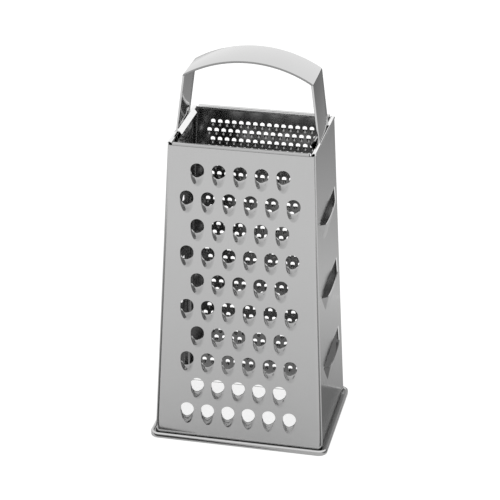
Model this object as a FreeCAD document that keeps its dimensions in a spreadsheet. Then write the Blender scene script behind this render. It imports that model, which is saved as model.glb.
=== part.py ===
import FreeCAD, Part
import os
import re
import Sketcher

# Four-sided box grater in sheet steel. Millimetres, +Z up, origin on the table under the middle.
# The coarse side faces -Y, the slicing side +X, the fine side +Y and the medium side -X.

SIZES = {
    # Body over the outer faces of the panels, at the table and at the rim
    "base_width": 99.0,
    "base_depth": 74.5,
    "top_width": 82.0,
    "top_depth": 62.0,
    "body_height": 182.0,
    # Panel sheet, the bent corners of the front and back panels, and the rolled rim
    "sheet_thickness": 0.5,
    "bend_radius": 1.5,
    "return_depth": 4.0,
    "lap_gap": 0.05,
    "rim_diameter": 2.7,
    "rim_end_gap": 2.5,
    "side_rim_end_gap": 5.0,
    # Base ring
    "ring_overhang": 2.65,
    "ring_height": 3.2,
    "ring_thickness": 0.6,
    "ring_corner_radius": 5.0,
    "ring_groove": 0.45,
    "ring_lip_gap": 0.4,
    "ring_lip_height": 2.6,
    "ring_lip_corner": 2.0,
    "ring_bead_share": 0.45,
    "seat_gap": 0.1,
    # Handle strip
    "handle_width": 25.6,
    "handle_thickness": 1.2,
    "handle_top": 225.6,
    "shoulder_height": 215.3,
    "shoulder_span": 72.4,
    "shoulder_radius": 1.6,
    "knee_rise": 0.6,
    "foot_length": 18.0,
    "leg_gap": 0.1,
    # Keeper clips of the handle
    "clip_length": 35.0,
    "clip_thickness": 0.5,
    "clip_gap": 0.3,
    "clip_rise": 2.6,
    "clip_reach": 3.1,
    "clip_fold_drop": 3.4,
    "clip_tail_drop": 5.4,
    "clip_tail_end": 9.4,
    # Coarse side
    "coarse_width": 7.6,
    "coarse_hole_height": 6.9,
    "coarse_rise": 2.3,
    "coarse_reach": 6.4,
    "coarse_column_pitch": 12.0,
    "coarse_row_pitch": 16.37,
    "coarse_drop": 17.7,
    "coarse_columns": 6,
    "coarse_row_pairs": 5,
    # Medium side
    "medium_width": 6.0,
    "medium_hole_height": 5.2,
    "medium_rise": 1.8,
    "medium_reach": 5.2,
    "medium_column_pitch": 11.6,
    "medium_row_pitch": 13.8,
    "medium_drop": 27.0,
    "medium_columns": 4,
    "medium_row_pairs": 5,
    # Fine side, whose columns fan out from the column pitch of the first row
    "fine_width": 2.6,
    "fine_hole_height": 2.9,
    "fine_rise": 0.9,
    "fine_reach": 2.0,
    "fine_column_pitch": 4.12,
    "fine_row_pitch": 5.468,
    "fine_drop": 11.1,
    "fine_columns": 16,
    "fine_row_pairs": 15,
    # Slicing side
    "slice_length": 49.0,
    "slice_slot": 4.15,
    "slice_rise": 2.9,
    "slice_reach": 11.8,
    "slice_pitch": 44.5,
    "slice_drop": 42.9,
    "slice_angle": 4.0,
    "slice_count": 3,
    # How far cutting tools run past the metal
    "overrun": 2.0,
}

# Shares of half the width and of the rise or height, along one edge of a punched form
COARSE_LIP_SHARES = [(-1, 0), (-0.7, 0.72), (0, 1), (0.7, 0.72), (1, 0)]
COARSE_HOLE_SHARES = [(-1, 0), (1, 0), (1, 0.45), (0.7, 0.84), (0, 1), (-0.7, 0.84), (-1, 0.45)]
MEDIUM_LIP_SHARES = [(-1, 0), (-0.55, 1), (0.55, 1), (1, 0)]
MEDIUM_HOLE_SHARES = [(-1, 0), (1, 0), (0.6, 0.9), (-0.6, 0.9)]
SLICE_LIP_SHARES = [(-1, 0), (-0.75, 0.8), (-0.3, 1), (0.3, 1), (0.75, 0.8), (1, 0)]
SLICE_HOLE_SHARES = [(-0.75, -1), (0.75, -1), (1, 0), (-1, 0)]

FRONT_TILT = "atan((base_depth - top_depth) / 2 / body_height)"
SIDE_TILT = "atan((base_width - top_width) / 2 / body_height)"
FRONT_SLANT = f"(body_height / cos({FRONT_TILT}))"
SIDE_SLANT = f"(body_height / cos({SIDE_TILT}))"

doc = FreeCAD.newDocument("box_grater")
sheet = doc.addObject("Spreadsheet::Sheet", "sizes")
for row, (size_name, number) in enumerate(SIZES.items(), start=1):
    sheet.set(f"A{row}", size_name)
    sheet.set(f"B{row}", str(number))
    sheet.setAlias(f"B{row}", size_name)
doc.recompute()


def bound(text):
    """An expression in which each size's name is led back to the sheet."""
    return re.sub(r"[a-z_]+", lambda word: f"sizes.{word[0]}" if word[0] in SIZES else word[0], text)


def value(text):
    result = sheet.evalExpression(bound(text))
    return float(getattr(result, "Value", result))


def origin_part(body, role):
    return next(part for part in body.Origin.OriginFeatures if part.Role == role)


def sketch_on(body, name, role, place=("0", "0", "0"), turn_axis=None, turn="0"):
    """A sketch on one of the body's origin planes, moved and turned in that plane's own axes."""
    sketch = body.newObject("Sketcher::SketchObject", name)
    sketch.AttachmentSupport = [(origin_part(body, role), "")]
    sketch.MapMode = "FlatFace"
    if turn_axis is not None:
        turned = FreeCAD.Rotation(turn_axis, value(turn))
        sketch.AttachmentOffset = FreeCAD.Placement(FreeCAD.Vector(), turned)
        sketch.setExpression("AttachmentOffset.Rotation.Angle", bound(turn))
    for letter, text in zip("xyz", place):
        sketch.setExpression(f"AttachmentOffset.Base.{letter}", bound(text))
    return sketch


def arc_between(start, end, radius):
    """An arc that turns left from start to end, with its centre to the left of the chord."""
    chord = end - start
    left = FreeCAD.Vector(-chord.y, chord.x, 0).normalize()
    centre = (start + end) / 2 + left * (radius**2 - (chord.Length / 2) ** 2) ** 0.5
    circle = Part.Circle(centre, FreeCAD.Vector(0, 0, 1), radius)
    return Part.ArcOfCircle(circle, circle.parameter(start), circle.parameter(end))


def outline(sketch, points):
    """A closed outline. A point is (x, y), or (x, y, radius) where an arc leads on to the next one.

    A radius with a minus sign before it turns right.
    """
    corners = [FreeCAD.Vector(value(point[0]), value(point[1]), 0) for point in points]
    ends = []
    for index, point in enumerate(points):
        start = corners[index]
        end = corners[(index + 1) % len(points)]
        if len(point) == 2:
            edge = sketch.addGeometry(Part.LineSegment(start, end), False)
            ends.append((edge, 1, 2))
            continue
        turns_right = point[2].startswith("-")
        radius = point[2].lstrip("-")
        first, second = (end, start) if turns_right else (start, end)
        edge = sketch.addGeometry(arc_between(first, second, value(radius)), False)
        ends.append((edge, 2, 1) if turns_right else (edge, 1, 2))
        bind_constraint(sketch, f"radius_{index}", radius, "Radius", edge)
    for index, point in enumerate(points):
        edge, start_end, _ = ends[index]
        before, _, before_end = ends[index - 1]
        sketch.addConstraint(Sketcher.Constraint("Coincident", before, before_end, edge, start_end))
        bind_constraint(sketch, f"across_{index}", point[0], "DistanceX", -1, 1, edge, start_end)
        bind_constraint(sketch, f"along_{index}", point[1], "DistanceY", -1, 1, edge, start_end)
    return sketch


def bind_constraint(sketch, name, text, kind, *places):
    number = sketch.addConstraint(Sketcher.Constraint(kind, *places, value(text)))
    sketch.renameConstraint(number, name)
    sketch.setExpression(f"Constraints.{name}", bound(text))


def solid_feature(body, kind, name, sketch, length, midplane=False, direction=None, refine=False):
    """A pad or pocket of one sketch, along its normal or along a direction of its own."""
    feature = body.newObject(f"PartDesign::{kind}", name)
    feature.Profile = sketch
    feature.setExpression("Length", bound(length))
    feature.Midplane = midplane
    feature.Refine = refine
    if direction is not None:
        feature.AlongSketchNormal = False
        feature.UseCustomVector = True
        feature.setExpression("Direction", bound("create(<<vector>>; {}; {}; {})".format(*direction)))
    doc.recompute()
    return feature


def dress_edges(body, kind, name, size, chosen):
    """A fillet or chamfer on those edges of the body's last feature that the given test picks."""
    base = body.Tip
    names = [f"Edge{n}" for n, edge in enumerate(base.Shape.Edges, start=1) if chosen(edge)]
    dressing = body.newObject(f"PartDesign::{kind}", name)
    dressing.Base = (base, names)
    dressing.setExpression("Radius" if kind == "Fillet" else "Size", bound(size))
    doc.recompute()


def round_edges(body, name, radius, chosen):
    dress_edges(body, "Fillet", name, radius, chosen)


def panel_body(label, quarter_turns, tilt, half_base):
    """A body whose Z points out of the panel and whose XY plane is the panel's inner face."""
    body = doc.addObject("PartDesign::Body", label)
    body.Label = label
    stand = (
        f"create(<<placement>>; create(<<vector>>; 0; -{half_base} + sheet_thickness * cos({tilt});"
        f" -sheet_thickness * sin({tilt}));"
        f" create(<<rotation>>; create(<<vector>>; 1; 0; 0); 90 deg - {tilt}))"
    )
    turn = (
        "create(<<placement>>; create(<<vector>>; 0; 0; 0);"
        f" create(<<rotation>>; create(<<vector>>; 0; 0; 1); {90 * quarter_turns}))"
    )
    body.setExpression("Placement", bound(f"{turn} * {stand}"))
    doc.recompute()
    return body


def seat_height(tilt):
    """How far up the slope a panel starts, so that its lowest edge stands just over the ring's floor."""
    return f"(ring_thickness + seat_gap + return_depth * sin({tilt}))"


def rolled_rim(body, slant, half_length):
    """The panel's top edge, rolled inwards through three quarters of a turn and plain inside the roll."""
    radius = "(rim_diameter / 2)"
    hollow = f"({radius} - sheet_thickness)"
    top = f"{slant} - {radius}"
    depth = f"sheet_thickness - {radius}"
    profile = outline(
        sketch_on(body, f"{body.Name}_rim_profile", "YZ_Plane"),
        [
            (top, "sheet_thickness", f"-{radius}"),
            (slant, depth, f"-{radius}"),
            (top, f"{depth} - {radius}", f"-{radius}"),
            (f"{top} - {radius}", depth),
            (f"{top} - {hollow}", depth),
            (top, f"{depth} - {hollow}"),
            (f"{top} + {hollow}", depth),
            (top, "0"),
        ],
    )
    return solid_feature(body, "Pad", f"{body.Name}_rim", profile, f"2 * ({half_length})", midplane=True)


def long_edges_at(level):
    """A test for the upright edges of a bent panel at one depth of its section."""
    least = value("body_height / 2")
    near = value("sheet_thickness / 4")
    return lambda edge: edge.BoundBox.YLength > least and abs(edge.CenterOfMass.z - level) < near


def bent_half_width(level):
    """Half the width of the front or back panel at one level up its slope."""
    lean = f"(base_width - top_width) / 2 * {level} / {FRONT_SLANT}"
    return f"(base_width / 2 - {lean} - sheet_thickness - lap_gap)"


def tapered_outline(sketch, foot, head, inset):
    """The front or back panel's outline between two levels, drawn in by the inset on both sides."""
    foot_half = f"({bent_half_width(foot)} - {inset})"
    head_half = f"({bent_half_width(head)} - {inset})"
    return outline(
        sketch,
        [(f"-{foot_half}", foot), (foot_half, foot), (head_half, head), (f"-{head_half}", head)],
    )


def bent_panel(label, quarter_turns):
    """Blank of the front or back panel: sheet, bent-back upright edges and rolled rim."""
    body = panel_body(label, quarter_turns, FRONT_TILT, "base_depth / 2")
    foot = seat_height(FRONT_TILT)
    head = f"({FRONT_SLANT} - rim_diameter / 2)"
    tray_back = "sheet_thickness - return_depth"
    tray = sketch_on(body, f"{label}_tray_outline", "XY_Plane", ("0", "0", tray_back))
    solid_feature(body, "Pad", f"{label}_tray", tapered_outline(tray, foot, head, "0"), "return_depth")
    round_edges(body, f"{label}_outer_bends", "bend_radius", long_edges_at(value("sheet_thickness")))
    inside = sketch_on(body, f"{label}_inside_outline", "XY_Plane")
    tapered_outline(inside, f"({foot} - overrun)", f"({head} + overrun)", "sheet_thickness")
    solid_feature(body, "Pocket", f"{label}_inside", inside, "return_depth")
    round_edges(body, f"{label}_inner_bends", "bend_radius - sheet_thickness", long_edges_at(0))
    rolled_rim(body, FRONT_SLANT, "top_width / 2 - sheet_thickness - rim_end_gap")
    return body


def flat_panel(label, quarter_turns):
    """Blank of a side panel: flat sheet with a rolled rim that is slotted for the handle's leg."""
    body = panel_body(label, quarter_turns, SIDE_TILT, "base_width / 2")
    foot = seat_height(SIDE_TILT)
    head = f"({SIDE_SLANT} - rim_diameter / 2)"
    lean = "(base_depth - top_depth) / 2"
    foot_half = f"(base_depth / 2 - {lean} * {foot} / {SIDE_SLANT} - bend_radius)"
    head_half = f"(base_depth / 2 - {lean} * {head} / {SIDE_SLANT} - bend_radius)"
    profile = outline(
        sketch_on(body, f"{label}_sheet_outline", "XY_Plane"),
        [(f"-{foot_half}", foot), (foot_half, foot), (head_half, head), (f"-{head_half}", head)],
    )
    solid_feature(body, "Pad", f"{label}_sheet", profile, "sheet_thickness")
    rolled_rim(body, SIDE_SLANT, "top_depth / 2 - side_rim_end_gap")
    half_slot = "(handle_width / 2 + leg_gap)"
    slot = outline(
        sketch_on(body, f"{label}_leg_slot_outline", "XZ_Plane", ("0", "0", f"-{head}")),
        [
            (f"-{half_slot}", "0"),
            (f"-{half_slot}", "-handle_thickness - 2 * leg_gap"),
            (half_slot, "-handle_thickness - 2 * leg_gap"),
            (half_slot, "0"),
        ],
    )
    solid_feature(body, "Pocket", f"{label}_leg_slot", slot, "rim_diameter + overrun", midplane=True)
    return body


def punched_form(body, name, width, rise, reach, height, lip_shares, hole_shares, place, angle="0"):
    """One opening: a hole in the sheet and, below it, metal pushed out as a hood that faces up the panel.

    The hood and the hollow behind it run down the panel in the same slanting direction.
    """
    across, along = place
    half = f"({width}) / 2"
    slope = f"atan({rise} / {reach})"
    run = f"({rise} + sheet_thickness) / sin({slope}) + overrun"
    direction = (f"sin({angle}) * cos({slope})", f"-cos({angle}) * cos({slope})", f"-sin({slope})")
    hood_edge = [(f"{half} * {a}", f"sheet_thickness + {rise} * {b}") for a, b in lip_shares]
    hood_edge = [(hood_edge[0][0], "0"), *hood_edge, (hood_edge[-1][0], "0")]
    hollow_edge = [(a, f"{b} - sheet_thickness") for a, b in hood_edge]
    hole_edge = [(f"{half} * {a}", f"{height} * {b}") for a, b in hole_shares]
    lip_place = (across, "0", f"-({along})")
    upright = FreeCAD.Vector(0, 1, 0)
    square = FreeCAD.Vector(0, 0, 1)
    hood_sketch = sketch_on(body, f"{name}_hood_edge", "XZ_Plane", lip_place, upright, angle)
    outline(hood_sketch, hood_edge)
    hood = solid_feature(body, "Pad", f"{name}_hood", hood_sketch, run, direction=direction)
    hollow_sketch = sketch_on(body, f"{name}_hollow_edge", "XZ_Plane", lip_place, upright, angle)
    outline(hollow_sketch, hollow_edge)
    hollow = solid_feature(body, "Pocket", f"{name}_hollow", hollow_sketch, run, direction=direction)
    hole_sketch = sketch_on(body, f"{name}_hole_edge", "XY_Plane", (across, along, "0"), square, angle)
    outline(hole_sketch, hole_edge)
    depth = f"2 * (sheet_thickness + {rise} + overrun)"
    hole = solid_feature(body, "Pocket", f"{name}_hole", hole_sketch, depth, midplane=True)
    return [hood, hollow, hole]


def repeat(body, name, forms, rows, row_pitch, columns=None, column_pitch=None):
    """Copies of the punched forms down the panel and, where given, across it."""
    pattern = body.newObject("PartDesign::LinearPattern", name)
    pattern.Originals = forms
    pattern.Direction = (origin_part(body, "Y_Axis"), [""])
    pattern.Reversed = True
    pattern.Mode = "Spacing"
    pattern.setExpression("Offset", bound(row_pitch))
    pattern.setExpression("Occurrences", bound(rows))
    if columns is not None:
        pattern.Direction2 = (origin_part(body, "X_Axis"), [""])
        pattern.Mode2 = "Extent"
        pattern.setExpression("Length2", bound(f"({columns} - 1) * {column_pitch}"))
        pattern.setExpression("Occurrences2", bound(columns))
    pattern.Refine = False
    body.Tip = pattern
    doc.recompute()


def clear_inside(body, slant, half_width, top_drop, bottom_drop, depth):
    """Takes away what the hoods' slanting runs leave behind the sheet."""
    area = outline(
        sketch_on(body, f"{body.Name}_clear_area", "XY_Plane"),
        [
            (f"-({half_width})", f"{slant} - ({bottom_drop})"),
            (half_width, f"{slant} - ({bottom_drop})"),
            (half_width, f"{slant} - ({top_drop})"),
            (f"-({half_width})", f"{slant} - ({top_drop})"),
        ],
    )
    solid_feature(body, "Pocket", f"{body.Name}_clear_inside", area, depth, refine=True)


def staggered_holes(body, slant, kind, lip_shares, hole_shares):
    """Rows of punched forms, in turn one short and full, set half a pitch apart."""
    pitch = f"{kind}_column_pitch"
    row = f"{kind}_row_pitch"
    for name, missing, row_number in (("short", 1, 0), ("full", 0, 1)):
        columns = f"({kind}_columns - {missing})"
        place = (f"-({columns} - 1) / 2 * {pitch}", f"{slant} - {kind}_drop - {row_number} * {row}")
        forms = punched_form(
            body, f"{kind}_{name}", f"{kind}_width", f"{kind}_rise", f"{kind}_reach",
            f"{kind}_hole_height", lip_shares, hole_shares, place,
        )
        repeat(body, f"{kind}_{name}_rows", forms, f"{kind}_row_pairs", f"2 * {row}", columns, pitch)
    half_width = f"({kind}_columns - 1) / 2 * {pitch} + {kind}_width / 2"
    bottom_drop = f"{kind}_drop + (2 * {kind}_row_pairs - 1) * {row} + 2 * {kind}_reach + overrun"
    depth = f"{kind}_rise + 2 * overrun"
    clear_inside(body, slant, half_width, f"{kind}_drop", bottom_drop, depth)


def front_panel():
    body = bent_panel("front_panel", 0)
    staggered_holes(body, FRONT_SLANT, "coarse", COARSE_LIP_SHARES, COARSE_HOLE_SHARES)
    return body


def left_panel():
    body = flat_panel("left_panel", 3)
    staggered_holes(body, SIDE_SLANT, "medium", MEDIUM_LIP_SHARES, MEDIUM_HOLE_SHARES)
    return body


def right_panel():
    """Blades, one below the other, each pressed out like a visor under an open slot.

    The visor starts at the slot's upper edge, and the slot is cut out of it down to the cutting edge.
    """
    body = flat_panel("right_panel", 1)
    place = ("0", f"{SIDE_SLANT} - slice_drop")
    reach = "(slice_reach + slice_slot)"
    rise = f"(slice_rise * {reach} / slice_reach)"
    forms = punched_form(
        body, "slice", "slice_length", rise, reach, "slice_slot",
        SLICE_LIP_SHARES, SLICE_HOLE_SHARES, place, "slice_angle",
    )
    repeat(body, "slice_rows", forms, "slice_count", "slice_pitch")
    half_width = f"slice_length / 2 + {reach}"
    swing = f"slice_length / 2 * sin(slice_angle) + 2 * {reach}"
    top_drop = f"slice_drop - {swing}"
    bottom_drop = f"slice_drop + (slice_count - 1) * slice_pitch + {swing} + overrun"
    clear_inside(body, SIDE_SLANT, half_width, top_drop, bottom_drop, f"{rise} + 2 * overrun")
    return body


def fine_places():
    """Middle of each fine tooth's cutting edge, on the panel's inner face.

    The columns fan out down the panel as it widens.
    """
    first = f"({FRONT_SLANT} - fine_drop)"
    for row in range(2 * int(value("fine_row_pairs"))):
        level = f"({first} - {row} * fine_row_pitch)"
        pitch = value(f"fine_column_pitch * {bent_half_width(level)} / {bent_half_width(first)}")
        columns = int(value("fine_columns")) - 1 + row % 2
        for column in range(columns):
            yield FreeCAD.Vector((column - (columns - 1) / 2) * pitch, value(level), 0)


def fine_tooth():
    """A small three-sided spur on the outer face, under its opening."""
    half = value("fine_width / 2")
    outer = value("sheet_thickness")
    left = FreeCAD.Vector(-half, 0, outer)
    right = FreeCAD.Vector(half, 0, outer)
    tip = FreeCAD.Vector(0, 0, outer + value("fine_rise"))
    toe = FreeCAD.Vector(0, -value("fine_reach"), outer)
    sides = [(left, right, tip), (left, tip, toe), (tip, right, toe), (left, toe, right)]
    faces = [Part.Face(Part.makePolygon([*side, side[0]])) for side in sides]
    return Part.makeSolid(Part.makeShell(faces))


def pierced_sheet(placement):
    """The flat of the back panel between its bends, with a three-sided opening above every spur."""
    foot = seat_height(FRONT_TILT)
    head = f"({FRONT_SLANT} - rim_diameter / 2)"
    corners = []
    for level, sides in ((foot, (-1, 1)), (head, (1, -1))):
        half = value(f"{bent_half_width(level)} - bend_radius")
        corners += [FreeCAD.Vector(side * half, value(level), 0) for side in sides]
    half = value("fine_width / 2")
    opening = [
        FreeCAD.Vector(-half, 0, 0),
        FreeCAD.Vector(half, 0, 0),
        FreeCAD.Vector(0, value("fine_hole_height"), 0),
    ]
    wires = [Part.makePolygon([*corners, corners[0]])]
    for place in fine_places():
        edge = [corner + place for corner in opening]
        wires.append(Part.makePolygon([*edge, edge[0]]))
    flat = Part.makeFace(wires, "Part::FaceMakerBullseye")
    pierced = doc.addObject("Part::Feature", "fine_sheet")
    pierced.Shape = flat.extrude(FreeCAD.Vector(0, 0, value("sheet_thickness")))
    pierced.Placement = placement
    return pierced


def back_panel():
    """Rolled rim and bent edges round a pierced sheet, with a spur under each opening."""
    edges = bent_panel("back_edges", 2)
    foot = f"({seat_height(FRONT_TILT)} - overrun)"
    head = f"({FRONT_SLANT} - rim_diameter / 2)"
    flat = sketch_on(edges, "back_flat_outline", "XY_Plane", ("0", "0", "sheet_thickness + overrun"))
    tapered_outline(flat, foot, head, "bend_radius")
    solid_feature(edges, "Pocket", "back_flat", flat, "sheet_thickness + 2 * overrun")
    teeth = doc.addObject("Part::Feature", "fine_teeth")
    tooth = fine_tooth()
    teeth.Shape = Part.Compound([tooth.translated(place) for place in fine_places()])
    teeth.Placement = edges.Placement
    panel = doc.addObject("Part::MultiFuse", "back_panel")
    panel.Shapes = [edges, pierced_sheet(edges.Placement), teeth]
    panel.Refine = False
    panel.Label = "back_panel"
    doc.recompute()
    return panel


def handle():
    """A polished strip: two legs that stand inside the side panels, two shoulders and a low arch."""
    body = doc.addObject("PartDesign::Body", "handle")
    body.Label = "handle"
    inset = f"(sheet_thickness / cos({SIDE_TILT}) + leg_gap)"
    knee_height = "(body_height + knee_rise)"
    foot_height = "(body_height - foot_length)"
    knee = f"(base_width / 2 - {knee_height} * tan({SIDE_TILT}) - {inset})"
    foot = f"(base_width / 2 - {foot_height} * tan({SIDE_TILT}) - {inset})"
    shoulder = "(shoulder_span / 2)"
    arch_rise = "(handle_top - shoulder_height)"
    arch_radius = f"(({shoulder}^2 + {arch_rise}^2) / (2 * {arch_rise}))"
    leg_lean = f"atan(({knee} - {shoulder}) / (shoulder_height - {knee_height}))"
    arch_lean = f"(2 * atan({arch_rise} / {shoulder}))"
    mitre = f"(handle_thickness / sin((90 deg + {leg_lean} + {arch_lean}) / 2))"
    inward = f"(({leg_lean} - {arch_lean}) / 2 - 135 deg)"
    inner_shoulder = f"({shoulder} + {mitre} * cos({inward}))"
    inner_height = f"(shoulder_height + {mitre} * sin({inward}))"
    inner_rise = f"(handle_top - handle_thickness - {inner_height})"
    inner_radius = f"(({inner_shoulder}^2 + {inner_rise}^2) / (2 * {inner_rise}))"
    profile = outline(
        sketch_on(body, "handle_profile", "XZ_Plane"),
        [
            (foot, foot_height),
            (knee, knee_height),
            (shoulder, "shoulder_height", arch_radius),
            (f"-{shoulder}", "shoulder_height"),
            (f"-{knee}", knee_height),
            (f"-{foot}", foot_height),
            (f"-{foot} + handle_thickness", foot_height),
            (f"-{knee} + handle_thickness", knee_height),
            (f"-{inner_shoulder}", inner_height, f"-{inner_radius}"),
            (inner_shoulder, inner_height),
            (f"{knee} - handle_thickness", knee_height),
            (f"{foot} - handle_thickness", foot_height),
        ],
    )
    solid_feature(body, "Pad", "handle_strip", profile, "handle_width", midplane=True)
    width = value("handle_width")
    shoulder_edge = FreeCAD.Vector(value(shoulder), 0, value("shoulder_height"))
    inner_edge = FreeCAD.Vector(value(inner_shoulder), 0, value(inner_height))

    def runs_at(corner):
        def chosen(edge):
            middle = edge.CenterOfMass
            place = FreeCAD.Vector(abs(middle.x), middle.y, middle.z)
            near = value("handle_thickness / 4")
            return abs(edge.Length - width) < near and place.distanceToPoint(corner) < near

        return chosen

    round_edges(body, "handle_outer_bends", "shoulder_radius + handle_thickness", runs_at(shoulder_edge))
    round_edges(body, "handle_inner_bends", "shoulder_radius", runs_at(inner_edge))
    return body


def strip_outline(side, thickness):
    """Outline of a folded strip: the points of one side, and the other side set off to its left."""
    courses = []
    for start, end in zip(side, side[1:]):
        courses.append(f"atan2({end[1]} - ({start[1]}); {end[0]} - ({start[0]}))")
    far_side = []
    for index, (across, along) in enumerate(side):
        before = courses[max(index - 1, 0)]
        after = courses[min(index, len(courses) - 1)]
        mitre = f"{thickness} / cos(({after} - {before}) / 2)"
        course = f"(({before} + {after}) / 2)"
        far_side.append((f"{across} - {mitre} * sin{course}", f"{along} + {mitre} * cos{course}"))
    return [*side, *reversed(far_side)]


def handle_clip(label, quarter_turns):
    """A folded keeper: a tail that lies on the leg, a fold round the rim and a roof back to the leg."""
    body = panel_body(label, quarter_turns, SIDE_TILT, "base_width / 2")
    leg_face = "(0 - 2 * leg_gap - handle_thickness)"
    behind_rim = "(sheet_thickness - rim_diameter - leg_gap)"
    side = [
        (f"{SIDE_SLANT} - clip_tail_end", f"{leg_face} - clip_thickness"),
        (f"{SIDE_SLANT} - clip_tail_drop", f"{leg_face} - clip_thickness"),
        (f"{SIDE_SLANT} - clip_fold_drop", f"{behind_rim} - clip_thickness"),
        (f"{SIDE_SLANT}", f"{leg_face} - clip_reach"),
        (f"{SIDE_SLANT} + clip_rise", f"{leg_face} - clip_gap - clip_thickness"),
    ]
    profile = sketch_on(body, f"{label}_profile", "YZ_Plane")
    outline(profile, strip_outline(side, "clip_thickness"))
    solid_feature(body, "Pad", f"{label}_strip", profile, "clip_length", midplane=True)
    return body


def eased_rectangle(sketch, half_x, half_y, ease, is_round):
    """A rectangle about the middle, with its four corners rounded or cut off."""
    bend = (ease,) if is_round else ()
    return outline(
        sketch,
        [
            (half_x, f"{ease} - ({half_y})"),
            (half_x, f"{half_y} - {ease}", *bend),
            (f"{half_x} - {ease}", half_y),
            (f"{ease} - ({half_x})", half_y, *bend),
            (f"-({half_x})", f"{half_y} - {ease}"),
            (f"-({half_x})", f"{ease} - ({half_y})", *bend),
            (f"{ease} - ({half_x})", f"-({half_y})"),
            (f"{half_x} - {ease}", f"-({half_y})", *bend),
        ],
    )


def base_ring():
    """A rolled channel: a bead round the outside, a floor under the panels and a turned-up inner lip."""
    body = doc.addObject("PartDesign::Body", "base_ring")
    body.Label = "base_ring"

    def rectangle(name, level, growth, ease, is_round):
        sketch = sketch_on(body, name, "XY_Plane", ("0", "0", level))
        half_x = f"(base_width / 2 + {growth})"
        half_y = f"(base_depth / 2 + {growth})"
        return eased_rectangle(sketch, half_x, half_y, ease, is_round)

    lip_out = "(0 - return_depth - ring_lip_gap)"
    lip_in = f"({lip_out} - ring_thickness)"
    groove_radius = "(ring_corner_radius - ring_overhang + ring_groove)"
    outside = rectangle("ring_outside", "0", "ring_overhang", "ring_corner_radius", True)
    solid_feature(body, "Pad", "ring_bar", outside, "ring_height")
    channel = rectangle("ring_channel", "ring_height", "ring_groove", groove_radius, True)
    solid_feature(body, "Pocket", "ring_channel_cut", channel, "ring_height - ring_thickness")
    lip = rectangle("ring_lip", "ring_thickness", lip_out, "ring_lip_corner", False)
    solid_feature(body, "Pad", "ring_lip_wall", lip, "ring_lip_height - ring_thickness")
    inner_corner = "(ring_lip_corner - ring_thickness * tan(22.5 deg))"
    opening = rectangle("ring_opening", "ring_height", lip_in, inner_corner, False)
    solid_feature(body, "Pocket", "ring_opening_cut", opening, "ring_height + overrun")

    def bead_edge(edge):
        middle = edge.CenterOfMass
        lip_x = value("base_width / 2 - return_depth")
        lip_y = value("base_depth / 2 - return_depth")
        beyond_lip = abs(middle.x) > lip_x or abs(middle.y) > lip_y
        return beyond_lip and middle.z > value("ring_height - ring_thickness / 2")

    bevel = "ring_bead_share * (ring_overhang - ring_groove)"
    dress_edges(body, "Chamfer", "ring_bead", bevel, bead_edge)
    return body


pieces = [
    base_ring(),
    front_panel(),
    right_panel(),
    back_panel(),
    left_panel(),
    handle(),
    handle_clip("right_handle_clip", 1),
    handle_clip("left_handle_clip", 3),
]

doc.recompute()
for item in doc.Objects:
    if "Invalid" in item.State or "Error" in item.State:
        raise RuntimeError(f"{item.Label} failed: {item.State}")
for piece in pieces:
    if piece.Shape.isNull() or not piece.Shape.isValid():
        raise RuntimeError(f"{piece.Label} has no valid shape")

os.makedirs("parts", exist_ok=True)
for piece in pieces:
    piece.Shape.exportStep(f"parts/{piece.Label}.step")
    box = piece.Shape.BoundBox
    print(piece.Label, len(piece.Shape.Solids), round(piece.Shape.Volume, 1), box)
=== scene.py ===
import bmesh
import bpy
from math import acos, atan, cos, pi, radians, sin, sqrt, tan
from mathutils import Matrix, Vector


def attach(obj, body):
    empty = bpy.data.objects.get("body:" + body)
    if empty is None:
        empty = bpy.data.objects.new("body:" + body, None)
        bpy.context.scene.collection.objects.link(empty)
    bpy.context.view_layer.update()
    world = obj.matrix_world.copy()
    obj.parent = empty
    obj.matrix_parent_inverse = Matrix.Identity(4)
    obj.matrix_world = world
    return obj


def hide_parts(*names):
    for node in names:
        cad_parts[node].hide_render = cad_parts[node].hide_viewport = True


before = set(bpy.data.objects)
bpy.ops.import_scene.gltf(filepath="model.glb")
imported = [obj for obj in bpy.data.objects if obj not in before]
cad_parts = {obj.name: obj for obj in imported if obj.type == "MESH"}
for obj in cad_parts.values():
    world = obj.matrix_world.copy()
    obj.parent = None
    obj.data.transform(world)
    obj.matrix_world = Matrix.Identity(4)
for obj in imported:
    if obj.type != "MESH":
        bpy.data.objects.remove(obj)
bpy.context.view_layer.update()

# Front panel: satin stainless sheet, punched from behind into staggered rows of coarse scoops.
# Its upright edges are bent back over the side panels, and its top edge is rolled inwards
# into a round rim that is safe to touch.
base_width = 0.099
base_depth = 0.0745
top_width = 0.082
top_depth = 0.062
body_height = 0.182
sheet = 0.0005
weld = sheet / 100
bend_radius = 0.0022
bend_depth = 0.004
bend_steps = 8
rim_radius = 0.00135
rim_proud = 0.00035
rim_step = 0.0004
rim_end_gap = 0.0025
rim_steps = 24
rim_turn = 3 * pi / 2
# The inside faces of the panels get a painted shade that darkens them.
inner_painted_shade = -0.42
# The front panel's rolled rim gets a painted shade that darkens it.
front_rim_painted_shade = -0.25
foot_level = 0.0008
crease_limit = radians(32)
flat_limit = radians(1)
inward_limit = -0.1
front_tilt = atan((base_depth - top_depth) / 2 / body_height)
front_slant = body_height / cos(front_tilt)

coarse_half_width = 0.0039
coarse_hole_height = 0.005
coarse_lip_drop = 0.0024
coarse_rise = 0.0025
coarse_reach = 0.0083
coarse_column_pitch = 0.012
coarse_row_pitch = 0.01637
coarse_drop = 0.0159
coarse_columns = 6
coarse_rows = 10
coarse_segments = 16
coarse_rings = 8
lip_roundness = 0.4
scoop_fullness = 1.4

panel_tone = 0.58
panel_roughness = 0.16
panel_grain = (2400, 2400, 60)
grain_detail = 3
grain_strength = 0.04
grain_height = 0.00002
cloud_scale = 45
cloud_detail = 4
tone_spread = 0.08
gloss_spread = 0.1
noise_middle = 0.5


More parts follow.
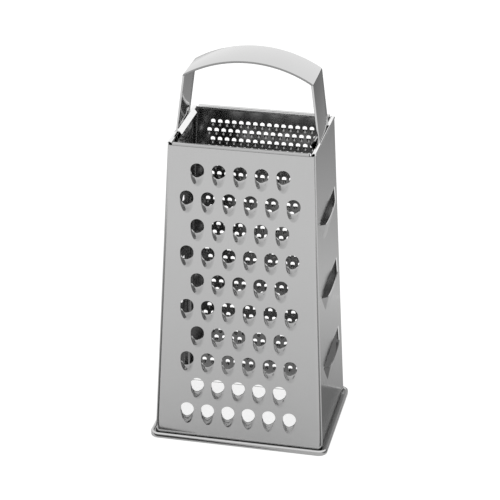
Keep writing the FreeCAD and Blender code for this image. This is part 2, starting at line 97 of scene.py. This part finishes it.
def panel_place(quarter_turns, tilt, half_base):
    """Stands up a panel that is drawn flat, with Y up its slope and Z out of its outer face."""
    turn = Matrix.Rotation(quarter_turns * pi / 2, 4, "Z")
    return turn @ Matrix.Translation((0, -half_base, 0)) @ Matrix.Rotation(pi / 2 - tilt, 4, "X")


def only(kind, parts):
    return [part for part in parts if isinstance(part, kind)]


def extend(bm, edges, course):
    """Draws a row of edges on along a course, and returns the new row of edges."""
    grown = bmesh.ops.extrude_edge_only(bm, edges=edges)["geom"]
    verts = only(bmesh.types.BMVert, grown)
    bmesh.ops.translate(bm, verts=verts, vec=course)
    edges = only(bmesh.types.BMEdge, grown)
    return [edge for edge in edges if all(vert in verts for vert in edge.verts)]


def scoop(bm, half_width, hole_height, lip_drop, rise, reach, segments, rings):
    """A round-topped hole over a scoop, whose rings shrink from the outline, rise and sag to a lip."""
    outline = bmesh.ops.create_circle(bm, segments=2 * segments, radius=1)["verts"]
    lower = [vert for vert in outline if vert.co.y < weld]
    for vert in outline:
        arched = vert.co.y * half_width + hole_height - half_width
        vert.co.x *= half_width
        vert.co.y = vert.co.y * reach if vert in lower else arched
    row = [edge for edge in bm.edges if all(vert in lower for vert in edge.verts)]
    share = 1
    sags = {}
    for ring in range(1, rings + 1):
        next_share = 1 - ring / rings
        row = extend(bm, row, (0, 0, 0))
        for vert in {vert for edge in row for vert in edge.verts}:
            vert.co.xy *= next_share / share
            vert.co.z = rise * (1 - next_share**2) ** scoop_fullness
            depth = sqrt(1 - (vert.co.x / half_width) ** 2)
            to_lip = 1 + vert.co.y / (reach * depth)
            sags[vert] = lip_drop * depth ** (2 * lip_roundness) * to_lip**2
        share = next_share
    for vert, sag in sags.items():
        vert.co.y -= sag
    bmesh.ops.remove_doubles(bm, verts=bm.verts[:], dist=weld)


def staggered(columns, rows, column_pitch, row_pitch, first, spread=lambda level: 1):
    """Places in rows that are in turn one short and full, half a pitch apart."""
    for row in range(rows):
        count = columns - 1 + row % 2
        level = first - row * row_pitch
        for column in range(count):
            yield Vector(((column - (count - 1) / 2) * column_pitch * spread(level), level, 0))


def punch(bm, form, places):
    """Copies one punched form to all its places, and returns the edges round them on the sheet."""
    pattern = bpy.data.meshes.new("form")
    form.to_mesh(pattern)
    for place in places:
        bm.from_mesh(pattern)
        bm.verts.ensure_lookup_table()
        bmesh.ops.translate(bm, verts=bm.verts[-len(pattern.vertices):], vec=place)
    bpy.data.meshes.remove(pattern)
    return [edge for edge in bm.edges if all(abs(vert.co.z) < weld for vert in edge.verts)]


def fill_sheet(bm, outline, openings):
    """The flat of a panel inside its outline and round its openings, and the outline's edges."""
    corners = [bm.verts.new((x, y, 0)) for x, y in outline]
    border = [bm.edges.new((corners[n - 1], corners[n])) for n in range(len(corners))]
    bmesh.ops.triangle_fill(bm, use_beauty=True, edges=border + openings, normal=(0, 0, 1))
    return border


def roll(bm, edge, radius, angle, steps):
    """Bends the sheet on past one edge, round an axis that lies a radius behind it."""
    start, end = edge.verts
    run = (end.co - start.co).normalized()
    outward = run.cross(Vector((0, 0, 1)))
    sign = 1 if outward.dot(start.co - Vector((0, body_height / 2, 0))) > 0 else -1
    turned = bmesh.ops.spin(
        bm, geom=[start, end, edge], cent=start.co - Vector((0, 0, radius)), axis=run,
        angle=sign * angle, steps=steps, use_merge=False,
    )
    return only(bmesh.types.BMEdge, turned["geom_last"])


def rim(bm, edge, angle, depth_share=1):
    """Rolls one stretch of a panel's top edge into a bead that stands a little proud of the sheet."""
    known = set(bm.verts)
    raised = extend(bm, [edge], (0, rim_step, rim_proud))
    roll(bm, raised[0], rim_radius, angle, rim_steps)
    for vert in set(bm.verts) - known:
        vert.co.z = rim_proud - (rim_proud - vert.co.z) * depth_share


def finish_piece(bm, name):
    """Smooths a mesh up to its creases and makes it a piece of the grater."""
    bm.normal_update()
    for face in bm.faces:
        face.smooth = True
    for edge in bm.edges:
        edge.smooth = edge.smooth and edge.calc_face_angle(pi) < crease_limit
    mesh = bpy.data.meshes.new(name)
    bm.to_mesh(mesh)
    bm.free()
    piece = bpy.data.objects.new(name, mesh)
    bpy.context.scene.collection.objects.link(piece)
    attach(piece, "root")
    return piece


def finish_sheet(bm, name, place, thickness, head, rim_painted_light_and_shade):
    """Gives a folded sheet its thickness, a painted light and shade on its rim and a painted shade on
    its inside, and stands it in its place.
    """
    bmesh.ops.remove_doubles(bm, verts=bm.verts[:], dist=weld)
    bmesh.ops.recalc_face_normals(bm, faces=bm.faces[:])
    largest = max(bm.faces, key=lambda face: face.calc_area())
    if largest.normal.z < 0:
        bmesh.ops.reverse_faces(bm, faces=bm.faces[:])
    bmesh.ops.solidify(bm, geom=bm.faces[:], thickness=thickness)
    bm.normal_update()
    # A face layer of painted light and shade: faces past the head take the rim's painted value, inside
    # faces a painted shade.
    shade = bm.faces.layers.float.new("shade")
    for face in bm.faces:
        if face.calc_center_median().y > head:
            face[shade] = rim_painted_light_and_shade
        elif face.normal.z < inward_limit:
            face[shade] = inner_painted_shade
    for edge in bm.edges:
        edge.smooth = len({abs(face.normal.z) > cos(flat_limit) for face in edge.link_faces}) == 1
    bmesh.ops.transform(bm, matrix=place, verts=bm.verts[:])
    return finish_piece(bm, name)


class Finish:
    """A value in a material's nodes. Sums and products of values add Math nodes."""

    def __init__(self, tree, value=None):
        self.tree = tree
        self.value = value

    def node(self, kind, settings, inputs, output=0):
        made = self.tree.nodes.new(kind)
        for name, setting in settings.items():
            setattr(made, name, setting)
        for name, given in inputs.items():
            if isinstance(given, Finish):
                self.tree.links.new(given.value, made.inputs[name])
            else:
                made.inputs[name].default_value = given
        return Finish(self.tree, made.outputs[output] if made.outputs else None)

    def math(self, operation, first, second):
        return self.node("ShaderNodeMath", {"operation": operation}, {0: first, 1: second})

    def __add__(self, other):
        return self.math("ADD", self, other)

    def __radd__(self, other):
        return self.math("ADD", other, self)

    def __sub__(self, other):
        return self.math("SUBTRACT", self, other)

    def __rsub__(self, other):
        return self.math("SUBTRACT", other, self)

    def __mul__(self, other):
        return self.math("MULTIPLY", self, other)

    def __rmul__(self, other):
        return self.math("MULTIPLY", other, self)


def new_material(name):
    material = bpy.data.materials.new(name)
    material.use_nodes = True
    material.node_tree.nodes.clear()
    return material, Finish(material.node_tree)


def rolled_steel(name, tone, roughness, grain_scale):
    """Stainless steel with the fine grain of the rolling mill and a little cloudy wear, its colour
    scaled by each face's painted light and shade.
    """
    material, mix = new_material(name)
    place = mix.node("ShaderNodeTexCoord", {}, {}, "Object")
    stretched = mix.node("ShaderNodeMapping", {}, {"Vector": place, "Scale": grain_scale})
    grain_sockets = {"Vector": stretched, "Scale": 1, "Detail": grain_detail}
    grain = mix.node("ShaderNodeTexNoise", {}, grain_sockets)
    cloud_sockets = {"Vector": place, "Scale": cloud_scale, "Detail": cloud_detail}
    cloud = mix.node("ShaderNodeTexNoise", {}, cloud_sockets)
    shade = mix.node("ShaderNodeAttribute", {"attribute_name": "shade"}, {}, "Fac")
    wear = (grain + cloud) * 0.5 - noise_middle
    bump_sockets = {"Strength": grain_strength, "Distance": grain_height, "Height": grain}
    bump = mix.node("ShaderNodeBump", {}, bump_sockets)
    shader = mix.node(
        "ShaderNodeBsdfPrincipled", {},
        {
            "Base Color": (wear * tone_spread + 1) * (1 + shade) * tone,
            "Metallic": 1,
            "Roughness": wear * gloss_spread + roughness,
            "Normal": bump,
        },
    )
    mix.node("ShaderNodeOutputMaterial", {}, {"Surface": shader})
    return material


def bent_half_width(level):
    """Half the outer width of the front or back panel at one level up its slope."""
    return base_width / 2 - (base_width - top_width) / 2 * level / front_slant - sheet


def bent_panel(bm, name, quarter_turns, openings, rim_painted_light_and_shade):
    """Fills the sheet of the front or back panel, bends its upright edges and rolls its rim."""
    head = front_slant - rim_radius - rim_step
    foot_half = bent_half_width(foot_level) - bend_radius
    head_half = bent_half_width(head) - bend_radius
    rim_half = top_width / 2 - sheet - rim_end_gap
    outline = [
        (-foot_half, foot_level), (foot_half, foot_level), (head_half, head),
        (rim_half, head), (-rim_half, head), (-head_half, head),
    ]
    border = fill_sheet(bm, outline, openings)
    rim(bm, border[4], rim_turn)
    for side in (border[0], border[2]):
        flange = roll(bm, side, bend_radius, pi / 2, bend_steps)
        extend(bm, flange, (0, 0, bend_radius - bend_depth))
    place = panel_place(quarter_turns, front_tilt, base_depth / 2)
    return finish_sheet(bm, name, place, sheet, head, rim_painted_light_and_shade)


coarse_form = bmesh.new()
scoop(
    coarse_form, coarse_half_width, coarse_hole_height, coarse_lip_drop, coarse_rise, coarse_reach,
    coarse_segments, coarse_rings,
)
coarse_places = staggered(
    coarse_columns, coarse_rows, coarse_column_pitch, coarse_row_pitch, front_slant - coarse_drop
)
front_bm = bmesh.new()
front_openings = punch(front_bm, coarse_form, coarse_places)
front = bent_panel(front_bm, "front_sheet", 0, front_openings, front_rim_painted_shade)
panel_steel = rolled_steel("panel_steel", panel_tone, panel_roughness, panel_grain)
front.data.materials.append(panel_steel)
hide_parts("front_panel")

# Back panel: the fine side, cut from the same sheet and bent and rolled like the front one. Its
# small close scoops stand in columns that fan out as the panel widens.
# The back panel's rolled rim gets a slight painted highlight that lightens it.
back_rim_painted_highlight = 0.08
fine_half_width = 0.0014
fine_hole_height = 0.00215
fine_lip_drop = 0.0003
fine_rise = 0.0009
fine_reach = 0.0024
fine_column_pitch = 0.00412
fine_row_pitch = 0.005468
fine_drop = 0.0108
fine_first = front_slant - fine_drop
fine_shift = Vector((0.0009, 0, 0))
fine_columns = 16
fine_rows = 30
fine_segments = 8
fine_rings = 3


def fine_spread(level):
    return bent_half_width(level) / bent_half_width(fine_first)


fine_form = bmesh.new()
scoop(
    fine_form, fine_half_width, fine_hole_height, fine_lip_drop, fine_rise, fine_reach,
    fine_segments, fine_rings,
)
fine_places = staggered(
    fine_columns, fine_rows, fine_column_pitch, fine_row_pitch, fine_first, fine_spread
)
back_bm = bmesh.new()
back_openings = punch(back_bm, fine_form, [place + fine_shift for place in fine_places])
back = bent_panel(back_bm, "back_sheet", 2, back_openings, back_rim_painted_highlight)
back.data.materials.append(panel_steel)
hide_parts("back_panel")

# Left panel: the medium side, a flat piece of the same sheet that stands between the bent edges
# of front and back. Its rolled rim is pressed flatter in the middle, where the handle's leg
# comes up behind it.
side_tilt = atan((base_width - top_width) / 2 / body_height)
side_slant = body_height / cos(side_tilt)
leg_half_width = 0.0136
leg_gap = 0.0001
slot_rim_share = 0.34
slot_rim_turn = pi
# The side panels' rolled rims get a painted highlight that makes them pale.
flat_rim_painted_highlight = 0.6

medium_half_width = 0.003
medium_hole_height = 0.0038
medium_lip_drop = 0.0014
medium_rise = 0.0018
medium_reach = 0.0066
medium_column_pitch = 0.0116
medium_row_pitch = 0.0138
medium_drop = 0.0256
medium_columns = 4
medium_rows = 10
medium_segments = 12
medium_rings = 6


def flat_panel(bm, name, quarter_turns, openings):
    """Fills the sheet of a side panel and rolls its rim on both sides of the handle's leg."""
    head = side_slant - rim_radius - rim_step
    lean = (base_depth - top_depth) / 2 / side_slant
    foot_half = base_depth / 2 - lean * foot_level - bend_radius
    head_half = base_depth / 2 - lean * head - bend_radius
    slot_half = leg_half_width + leg_gap
    outline = [
        (-foot_half, foot_level), (foot_half, foot_level), (head_half, head),
        (slot_half, head), (-slot_half, head), (-head_half, head),
    ]
    border = fill_sheet(bm, outline, openings)
    rim(bm, border[3], rim_turn)
    rim(bm, border[4], slot_rim_turn, slot_rim_share)
    rim(bm, border[5], rim_turn)
    place = panel_place(quarter_turns, side_tilt, base_width / 2)
    return finish_sheet(bm, name, place, sheet, head, flat_rim_painted_highlight)


medium_form = bmesh.new()
scoop(
    medium_form, medium_half_width, medium_hole_height, medium_lip_drop, medium_rise, medium_reach,
    medium_segments, medium_rings,
)
medium_places = staggered(
    medium_columns, medium_rows, medium_column_pitch, medium_row_pitch, side_slant - medium_drop
)
left_bm = bmesh.new()
left_openings = punch(left_bm, medium_form, medium_places)
left = flat_panel(left_bm, "left_sheet", 3, left_openings)
left.data.materials.append(panel_steel)
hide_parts("left_panel")

# Right panel: the slicing side, of the same sheet and rolled like the left one. Under each of its
# three slots the sheet is pressed out like a visor, whose straight upper edge is the blade.
blade_half_length = 0.0245
blade_slot = 0.00415
blade_rise = 0.0029
blade_reach = 0.0118
blade_pitch = 0.0445
blade_drop = 0.0429
blade_angle = radians(4)
blade_count = 3
blade_corner_share = 0.62
blade_corner_height_share = 0.8
blade_columns = 48
blade_rows = 6
blade_crown = 3
blade_slope = blade_rise / blade_reach
visor_rise = blade_rise + blade_slope * blade_slot


def visor_height(share):
    """Height of the visor over the slot's upper edge, at a share of half its length."""
    if share > blade_corner_share:
        return visor_rise * blade_corner_height_share * (1 - share) / (1 - blade_corner_share)
    fall = (1 - blade_corner_height_share) * (share / blade_corner_share) ** blade_crown
    return visor_rise * (1 - fall)


blade_form = bmesh.new()
grid = bmesh.ops.create_grid(blade_form, x_segments=blade_columns, y_segments=blade_rows, size=1)
visor = grid["verts"]
for vert in visor:
    share = abs(vert.co.x)
    height = visor_height(share)
    lip = -blade_slot * min(1, (1 - share) / (1 - blade_corner_share))
    toe = -height / blade_slope
    along = lip + (toe - lip) * (1 - vert.co.y) / 2
    vert.co = Vector((vert.co.x * blade_half_length, along, height + blade_slope * along))
bmesh.ops.remove_doubles(blade_form, verts=visor, dist=weld)
ends = [pick(blade_form.verts, key=lambda vert: vert.co.x) for pick in (min, max)]
blade_form.edges.new(ends)
blade_turn = Matrix.Rotation(blade_angle, 3, "Z")
bmesh.ops.rotate(blade_form, verts=blade_form.verts[:], matrix=blade_turn)
blade_places = [Vector((0, side_slant - blade_drop - n * blade_pitch, 0)) for n in range(blade_count)]
right_bm = bmesh.new()
right_openings = punch(right_bm, blade_form, blade_places)
right = flat_panel(right_bm, "right_sheet", 1, right_openings)
right.data.materials.append(panel_steel)
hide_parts("right_panel")

# Handle: one polished steel strip, bent to a low arch with two tight shoulders. Its legs lean
# in from the side panels, inside which they stand, and its cut edges on the arch are darkened
# by a painted shade.
handle_thickness = 0.0012
handle_top = 0.2256
handle_edge_radius = 0.00025
handle_edge_steps = 3
handle_tone = 0.66
handle_roughness = 0.1
handle_grain = (60, 2400, 60)
sharp_limit = radians(60)
arch_edge_painted_shade = -0.5
arch_edge_facing = 0.5
shoulder = Vector((0.0362, 0, 0.2153))
shoulder_radius = 0.0018
shoulder_steps = 8
arch_steps = 24
knee_rise = 0.0006
leg_length = 0.018
knee_level = body_height + knee_rise
leg_foot_level = body_height - leg_length
leg_inset = sheet / cos(side_tilt) + leg_gap
knee = Vector((base_width / 2 - knee_level * tan(side_tilt) - leg_inset, 0, knee_level))
leg_foot = Vector((base_width / 2 - leg_foot_level * tan(side_tilt) - leg_inset, 0, leg_foot_level))
arch_rise = handle_top - shoulder.z
arch_radius = (shoulder.x**2 + arch_rise**2) / (2 * arch_rise)
arch_centre = Vector((0, 0, handle_top - arch_radius))
leg_course = (shoulder - knee).normalized()
leg_inward = Vector((-leg_course.z, 0, leg_course.x))
offset = knee + leg_inward * shoulder_radius - arch_centre
lean = offset.dot(leg_course)
along = sqrt(lean**2 - offset.length_squared + (arch_radius - shoulder_radius) ** 2) - lean
shoulder_centre = knee + leg_inward * shoulder_radius + leg_course * along
shoulder_start = shoulder_centre - leg_inward * shoulder_radius
arch_course = (shoulder_centre - arch_centre).normalized()
shoulder_turn = acos(arch_course.dot(-leg_inward))
arch_turn = acos(arch_course.z)

handle_bm = bmesh.new()
ends = [handle_bm.verts.new(leg_foot + Vector((0, side * leg_half_width, 0))) for side in (-1, 1)]
strip_end = [handle_bm.edges.new(ends)]
for course in (knee - leg_foot, shoulder_start - knee):
    strip_end = extend(handle_bm, strip_end, course)
for centre, turn, steps in (
    (shoulder_centre, shoulder_turn, shoulder_steps), (arch_centre, arch_turn, arch_steps),
):
    turned = bmesh.ops.spin(
        handle_bm, geom=strip_end + list(strip_end[0].verts), cent=centre, axis=(0, -1, 0),
        angle=turn, steps=steps, use_merge=False,
    )
    strip_end = only(bmesh.types.BMEdge, turned["geom_last"])
half_strip = handle_bm.faces[:] + handle_bm.edges[:] + handle_bm.verts[:]
bmesh.ops.mirror(handle_bm, geom=half_strip, axis="X", merge_dist=weld)
bmesh.ops.remove_doubles(handle_bm, verts=handle_bm.verts[:], dist=weld)
bmesh.ops.recalc_face_normals(handle_bm, faces=handle_bm.faces[:])
top_face = max(handle_bm.faces, key=lambda face: face.calc_center_median().z)
if top_face.normal.z < 0:
    bmesh.ops.reverse_faces(handle_bm, faces=handle_bm.faces[:])
bmesh.ops.solidify(handle_bm, geom=handle_bm.faces[:], thickness=handle_thickness)
sharp = [edge for edge in handle_bm.edges if edge.calc_face_angle(0) > sharp_limit]
bmesh.ops.bevel(
    handle_bm, geom=sharp, offset=handle_edge_radius, affect="EDGES", segments=handle_edge_steps,
    profile=0.5, material=-1,
)
handle_bm.normal_update()
# A painted shade darkens the strip's cut edges along the arch.
handle_painted_shade = handle_bm.faces.layers.float.new("shade")
for face in handle_bm.faces:
    if abs(face.normal.y) > arch_edge_facing and face.calc_center_median().z > shoulder_start.z:
        face[handle_painted_shade] = arch_edge_painted_shade
handle = finish_piece(handle_bm, "handle_strip")
handle_steel = rolled_steel("handle_steel", handle_tone, handle_roughness, handle_grain)
handle.data.materials.append(handle_steel)
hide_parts("handle")

# Handle clips: short strips of the same steel, folded over each leg inside the rim, which keep
# the leg against the side panel.
clip_half_length = 0.0175
clip_thickness = 0.0005
clip_tail_end = 0.0094
clip_tail_drop = 0.0054
clip_fold_drop = 0.0034
clip_reach = 0.0031
clip_rise = 0.0026
clip_gap = 0.0003
# The clips get a painted highlight that lightens them all over.
clip_painted_highlight = 0.4
leg_face = -sheet - 2 * leg_gap - handle_thickness
behind_rim = -2 * rim_radius - leg_gap
clip_course = [
    Vector((0, -clip_tail_end, leg_face - clip_thickness)),
    Vector((0, -clip_tail_drop, leg_face - clip_thickness)),
    Vector((0, -clip_fold_drop, behind_rim - clip_thickness)),
    Vector((0, 0, leg_face - clip_reach)),
    Vector((0, clip_rise, leg_face - clip_gap - clip_thickness)),
]
clip_foot = clip_course[0] + Vector((0, side_slant, 0))
clip_end = Vector((clip_half_length, 0, 0))
for name, quarter_turns in (("right", 1), ("left", 3)):
    clip_bm = bmesh.new()
    ends = [clip_bm.verts.new(clip_foot + side * clip_end) for side in (-1, 1)]
    strip_end = [clip_bm.edges.new(ends)]
    for start, end in zip(clip_course, clip_course[1:]):
        strip_end = extend(clip_bm, strip_end, end - start)
    place = panel_place(quarter_turns, side_tilt, base_width / 2)
    clip = finish_sheet(clip_bm, f"{name}_keeper", place, -clip_thickness, 0, clip_painted_highlight)
    clip.data.materials.append(handle_steel)
    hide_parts(f"{name}_handle_clip")

# Base ring: a channel rolled from stainless strip, with a round bead outside and a low lip
# inside. The lower edges of the four panels stand in it.
ring_overhang = 0.00265
ring_groove = 0.0009
ring_height = 0.0032
ring_floor = 0.0006
ring_corner = 0.005
ring_lip_gap = 0.0004
ring_lip_out = -bend_depth - ring_lip_gap
ring_lip_in = ring_lip_out - ring_floor
ring_lip_height = 0.0026
ring_lip_corner = 0.002
# The inner face of the ring's lip gets a painted highlight, so that it shows nearly white through the
# lowest holes.
ring_lip_painted_highlight = 0.6
ring_edge = 0.0003
ring_corner_steps = 10
ring_tone = 0.6
ring_roughness = 0.18
ring_grain = (400, 400, 2400)
bead_radius = (ring_overhang - ring_groove) / 2
bead_steps = 10
ring_course = [(ring_overhang - ring_edge, 0), (ring_overhang, ring_edge)]
for step in range(bead_steps + 1):
    angle = pi * step / bead_steps
    across = ring_groove + bead_radius * (1 + cos(angle))
    ring_course.append((across, ring_height - bead_radius + bead_radius * sin(angle)))
ring_course += [(ring_groove, ring_floor), (ring_lip_out, ring_floor), (ring_lip_out, ring_lip_height)]
ring_course += [(ring_lip_in, ring_lip_height), (ring_lip_in, 0)]

ring_bm = bmesh.new()
ring_painted_light = ring_bm.faces.layers.float.new("shade")
loops = []
for growth, level in ring_course:
    corners = bmesh.ops.create_grid(ring_bm, x_segments=1, y_segments=1, size=1)["verts"]
    bmesh.ops.scale(ring_bm, verts=corners, vec=(base_width / 2 + growth, base_depth / 2 + growth, 1))
    bmesh.ops.translate(ring_bm, verts=corners, vec=(0, 0, level))
    radius = ring_corner - ring_overhang + growth if growth > 0 else ring_lip_corner
    bmesh.ops.bevel(
        ring_bm, geom=corners, offset=radius, affect="VERTICES", segments=ring_corner_steps,
        profile=0.5, material=-1,
    )
    ring_bm.faces.ensure_lookup_table()
    loops.append(ring_bm.faces[0].edges[:])
    bmesh.ops.delete(ring_bm, geom=ring_bm.faces[:], context="FACES_ONLY")
for n in range(len(loops)):
    pair = loops[n - 1] + loops[n]
    if ring_course[n][1] == ring_course[n - 1][1]:
        bmesh.ops.triangle_fill(ring_bm, use_beauty=True, edges=pair, normal=(0, 0, 1))
    else:
        wall = bmesh.ops.bridge_loops(ring_bm, edges=pair)["faces"]
        if ring_course[n][0] == ring_lip_in:
            for face in wall:
                face[ring_painted_light] = ring_lip_painted_highlight
bmesh.ops.recalc_face_normals(ring_bm, faces=ring_bm.faces[:])
ring = finish_piece(ring_bm, "base_channel")
ring_steel = rolled_steel("ring_steel", ring_tone, ring_roughness, ring_grain)
ring.data.materials.append(ring_steel)
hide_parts("base_ring")

# Table and light: a pale floor and one wide soft lamp in a white room. Grey cards, which only
# the metal sees, stand behind the grater and lie round its foot. Their tones, which change along
# a fade, give its sides and edges their darker greys, and a white one lightens its open foot.
floor_half = 3
floor_tone = 0.4
floor_seen = 0.82
floor_mirrored = 0.57
# The floor as the metal mirrors it glows darker near the grater: a painted shadow round its foot,
# which fades out with distance.
painted_shadow_reach = 0.4
painted_shadow_fade = 0.25
room_light = 0.7
lamp_place = Vector((0.2, -0.1, 1.5))
lamp_size = (2.4, 2)
lamp_power = 3
cards = {
    "back_card": (
        [(-0.05, 0.17, 0), (0.5, 0.17, 0), (0.5, 0.17, 0.2), (-0.05, 0.17, 0.2)],
        0.6, (0, 0, -2.4),
    ),
    "left_card": (
        [
            (0.03, -0.041, 0), (-0.06, -0.041, 0), (-0.06, 0.3, 0), (-0.4, 0.3, 0), (-0.4, -0.26, 0),
            (-0.065, -0.05, 0), (-0.02, -0.0435, 0),
        ],
        0.03, (-1, 0, 0),
    ),
    "right_card": (
        [(0.053, -0.042, 0), (0.4, -0.05, 0), (0.4, 0.165, 0), (0.053, 0.041, 0)],
        0.12, (0.9, 0, 0),
    ),
    "rear_card": (
        [(-0.05, 0.042, 0), (0.053, 0.042, 0), (0.4, 0.166, 0), (0.4, 0.169, 0), (-0.05, 0.169, 0)],
        0.29, (0, 1.8, 0),
    ),
    "inner_card": (
        [(-0.043, 0.0255, 0), (0.043, 0.0255, 0), (0.043, 0.0322, 0), (-0.043, 0.0322, 0)],
        1, (0, 0, 0),
    ),
}
card_lift = 0.0005


def stage_piece(bm, name):
    mesh = bpy.data.meshes.new(name)
    bm.to_mesh(mesh)
    bm.free()
    piece = bpy.data.objects.new(name, mesh)
    bpy.context.scene.collection.objects.link(piece)
    return piece


def ray(mix, kind):
    return mix.node("ShaderNodeLightPath", {}, {}, f"Is {kind} Ray")


def seen(mix, direct, mirrored):
    """One strength where the camera looks, straight or through glass, and another in the metal."""
    return (ray(mix, "Camera") + ray(mix, "Transmission")) * direct + ray(mix, "Glossy") * mirrored


floor_bm = bmesh.new()
bmesh.ops.create_grid(floor_bm, x_segments=1, y_segments=1, size=floor_half)
floor = stage_piece(floor_bm, "floor")
floor_material, paint = new_material("floor")
matt = paint.node("ShaderNodeBsdfDiffuse", {}, {"Color": (floor_tone, floor_tone, floor_tone, 1)})
place = paint.node("ShaderNodeTexCoord", {}, {}, "Object")
# Painted shadow: the mirrored glow is weakest at the grater's foot and full from the reach on.
distance = paint.node("ShaderNodeVectorMath", {"operation": "LENGTH"}, {0: place}, "Value")
farness = paint.math("MINIMUM", distance * (1 / painted_shadow_reach), 1)
mirrored = paint.math("POWER", farness, painted_shadow_fade) * floor_mirrored
glow = paint.node("ShaderNodeEmission", {}, {"Color": seen(paint, floor_seen, mirrored)})
both = paint.node("ShaderNodeAddShader", {}, {0: matt, 1: glow})
paint.node("ShaderNodeOutputMaterial", {}, {"Surface": both})
floor.data.materials.append(floor_material)

for name, (corners, tone, fade) in cards.items():
    card_bm = bmesh.new()
    card_bm.faces.new([card_bm.verts.new(corner) for corner in corners])
    bmesh.ops.translate(card_bm, verts=card_bm.verts[:], vec=(0, 0, card_lift))
    card = stage_piece(card_bm, name)
    card.visible_camera = False
    card.visible_shadow = False
    card.visible_diffuse = False
    card_material, paint = new_material(name)
    place = paint.node("ShaderNodeTexCoord", {}, {}, "Object")
    dot = {"operation": "DOT_PRODUCT"}
    change = paint.node("ShaderNodeVectorMath", dot, {0: place, 1: fade}, "Value")
    glow = paint.node("ShaderNodeEmission", {}, {"Color": paint.math("MAXIMUM", change + tone, 0)})
    paint.node("ShaderNodeOutputMaterial", {}, {"Surface": glow})
    card.data.materials.append(card_material)

room = bpy.data.worlds.new("room")
room.use_nodes = True
room.node_tree.nodes.clear()
air = Finish(room.node_tree)
brightness = room_light + seen(air, 1 - room_light, 1 - room_light)
sky = air.node("ShaderNodeBackground", {}, {"Color": brightness})
air.node("ShaderNodeOutputWorld", {}, {"Surface": sky})
bpy.context.scene.world = room

lamp_data = bpy.data.lights.new("soft_lamp", "AREA")
lamp_data.shape = "RECTANGLE"
lamp_data.size, lamp_data.size_y = lamp_size
lamp_data.energy = lamp_power
lamp = bpy.data.objects.new("soft_lamp", lamp_data)
lamp.location = lamp_place
lamp_aim = Vector((0, 0, body_height / 2)) - lamp_place
lamp.rotation_euler = lamp_aim.to_track_quat("-Z", "Y").to_euler()
bpy.context.scene.collection.objects.link(lamp)

# Camera: a long lens about a metre away, which looks down a little from the front right and is
# rolled by a fraction of a degree.
view_turn = radians(12.293)
view_height = radians(24.973)
view_roll = radians(0.181)
view_distance = 1.09915
view_aim = Vector((-0.00119, 0, 0.10709))
near_limit = 0.01
sensor = 36
frame_pixels = 500
focal_pixels = 1922.1
level_way = Vector((sin(view_turn), -cos(view_turn), 0)) * cos(view_height)
towards = level_way + Vector((0, 0, sin(view_height)))
across = Vector((0, 0, 1)).cross(towards).normalized()
upward = towards.cross(across)
axes = Matrix((across, upward, towards)).transposed() @ Matrix.Rotation(view_roll, 3, "Z")
camera_data = bpy.data.cameras.new("camera")
camera_data.sensor_width = sensor
camera_data.lens = sensor * focal_pixels / frame_pixels
camera_data.clip_start = near_limit
camera = bpy.data.objects.new("camera", camera_data)
camera.matrix_world = Matrix.Translation(view_aim + towards * view_distance) @ axes.to_4x4()
bpy.context.scene.collection.objects.link(camera)
bpy.context.scene.camera = camera
bpy.context.scene.view_settings.view_transform = "Standard"
